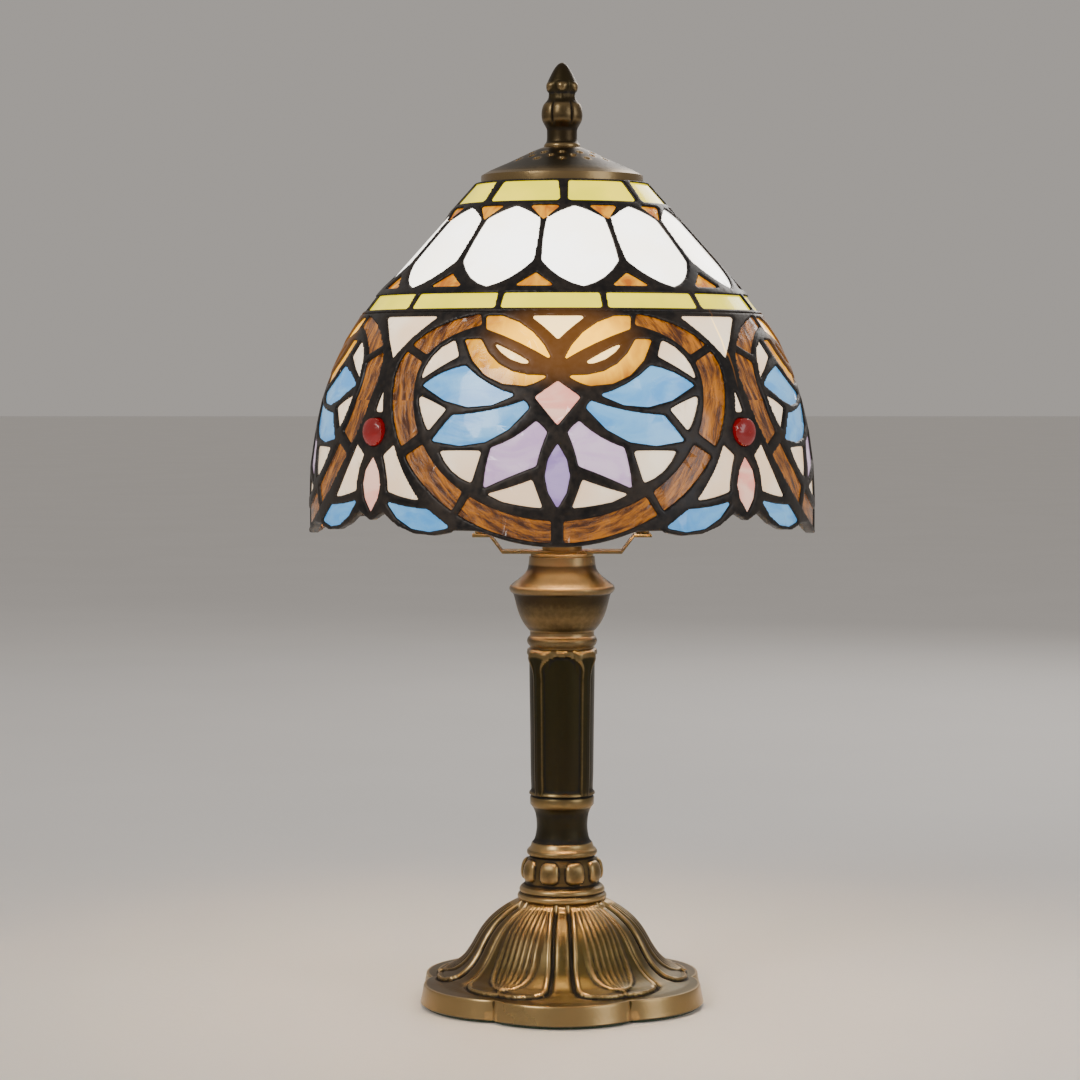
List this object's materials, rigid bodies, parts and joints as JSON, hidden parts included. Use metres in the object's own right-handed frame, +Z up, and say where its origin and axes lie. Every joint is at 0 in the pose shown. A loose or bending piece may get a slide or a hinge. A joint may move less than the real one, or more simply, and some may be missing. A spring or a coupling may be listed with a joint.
{
  "type": "stained glass table lamp",
  "caption": "Leaded stained glass dome shade with heart panels, standing on a cast antique bronze column with a lobed foot, with harp, socket and bulb.",
  "frame": {"origin": "under the middle of the foot, on the surface it stands on", "axes": "+Z up the column, -Y towards the front heart panel, +X to the right seen from the front"},
  "size_m": [0.2026, 0.2026, 0.3775],
  "materials": {
    "cast_bronze": "antique bronze with gold rubbed on the raised edges, satin",
    "dark_sheet": "antique bronze, satin",
    "felt": "matte felt",
    "steel": "plain",
    "black_plastic": "matte",
    "aged_brass": "aged, satin",
    "bright_brass": "bright",
    "cardboard": "matte",
    "bakelite": "dark phenolic",
    "bulb_metal": "plain",
    "bulb_glass": "clear, warm light",
    "filament": "glowing",
    "lead": "black patina on solder",
    "green_glass": "mottled art glass",
    "white_glass": "opal art glass",
    "gold_glass": "streaky art glass",
    "amber_glass": "streaky, rippled art glass",
    "sky_glass": "wispy opal glass",
    "pink_glass": "wispy opal glass",
    "lavender_glass": "wispy opal glass",
    "violet_glass": "wispy opal glass",
    "ruby_glass": "clear ruby cabochon",
    "cream_glass": "opal art glass"
  },
  "bodies": {
    "stand": {"base_felt": "felt", "base": "cast_bronze", "base_knop": "cast_bronze", "column": "cast_bronze", "collar": "cast_bronze", "cup": "cast_bronze", "threaded_pipe": "steel", "pipe_nuts": "steel", "lock_washer": "steel", "cord_bushing": "black_plastic", "neck_washer": "aged_brass", "harp_saddle": "dark_sheet", "harp_wire": "aged_brass", "harp_top": "aged_brass", "socket_cap": "aged_brass", "socket_shell": "aged_brass", "socket_liner": "cardboard", "socket_body": "bakelite", "socket_screw_shell": "bright_brass", "socket_contact": "bright_brass"},
    "spindle": {"harp_spindle": "aged_brass"},
    "shade": {"shade_cap": "dark_sheet", "shade_top_ring": "aged_brass", "solder_crown": "lead", "solder_skirt": "lead", "green_top": "green_glass", "amber_darts": "gold_glass", "white_hexes": "white_glass", "amber_gables": "gold_glass", "green_band": "green_glass", "amber_ring": "amber_glass", "amber_lenses": "gold_glass", "amber_scrolls": "gold_glass", "blue_upper_petals": "sky_glass", "blue_lower_petals": "sky_glass", "blue_scallops": "sky_glass", "pink_diamonds": "pink_glass", "pink_drops": "pink_glass", "lavender_petals": "lavender_glass", "violet_lenses": "violet_glass", "red_jewels": "ruby_glass", "cream_eyes": "cream_glass", "cream_peaks": "cream_glass", "cream_corners": "cream_glass", "cream_fields": "cream_glass", "cream_flanks": "cream_glass"},
    "finial": {"finial": "cast_bronze"},
    "sleeve_left": {"harp_sleeve_left": "aged_brass"},
    "sleeve_right": {"harp_sleeve_right": "aged_brass"},
    "switch": {"switch_knob": "black_plastic"},
    "bulb": {"bulb_base": "bulb_metal", "bulb_glass": "bulb_glass", "bulb_filament": "filament"}
  },
  "joints": [
    {"name": "shade_swivel", "type": "hinge", "parent": "stand", "child": "spindle", "pos_m": [0, 0, 0.34], "axis": [0, 0, 1], "continuous": true},
    {"name": "shade_lift", "type": "slide", "parent": "spindle", "child": "shade", "axis": [0, 0, 1], "range_m": [0, 0.18]},
    {"name": "finial_turn", "type": "hinge", "parent": "shade", "child": "finial", "pos_m": [0, 0, 0.344], "axis": [0, 0, 1], "continuous": true},
    {"name": "sleeve_left_slide", "type": "slide", "parent": "stand", "child": "sleeve_left", "axis": [0, 0, 1], "range_m": [0, 0.012]},
    {"name": "sleeve_right_slide", "type": "slide", "parent": "stand", "child": "sleeve_right", "axis": [0, 0, 1], "range_m": [0, 0.012]},
    {"name": "switch_turn", "type": "hinge", "parent": "stand", "child": "switch", "pos_m": [0, 0.02, 0.2006], "axis": [0, 1, 0], "continuous": true},
    {"name": "bulb_turn", "type": "hinge", "parent": "stand", "child": "bulb", "pos_m": [0, 0, 0.26], "axis": [0, 0, 1], "continuous": true}
  ]
}
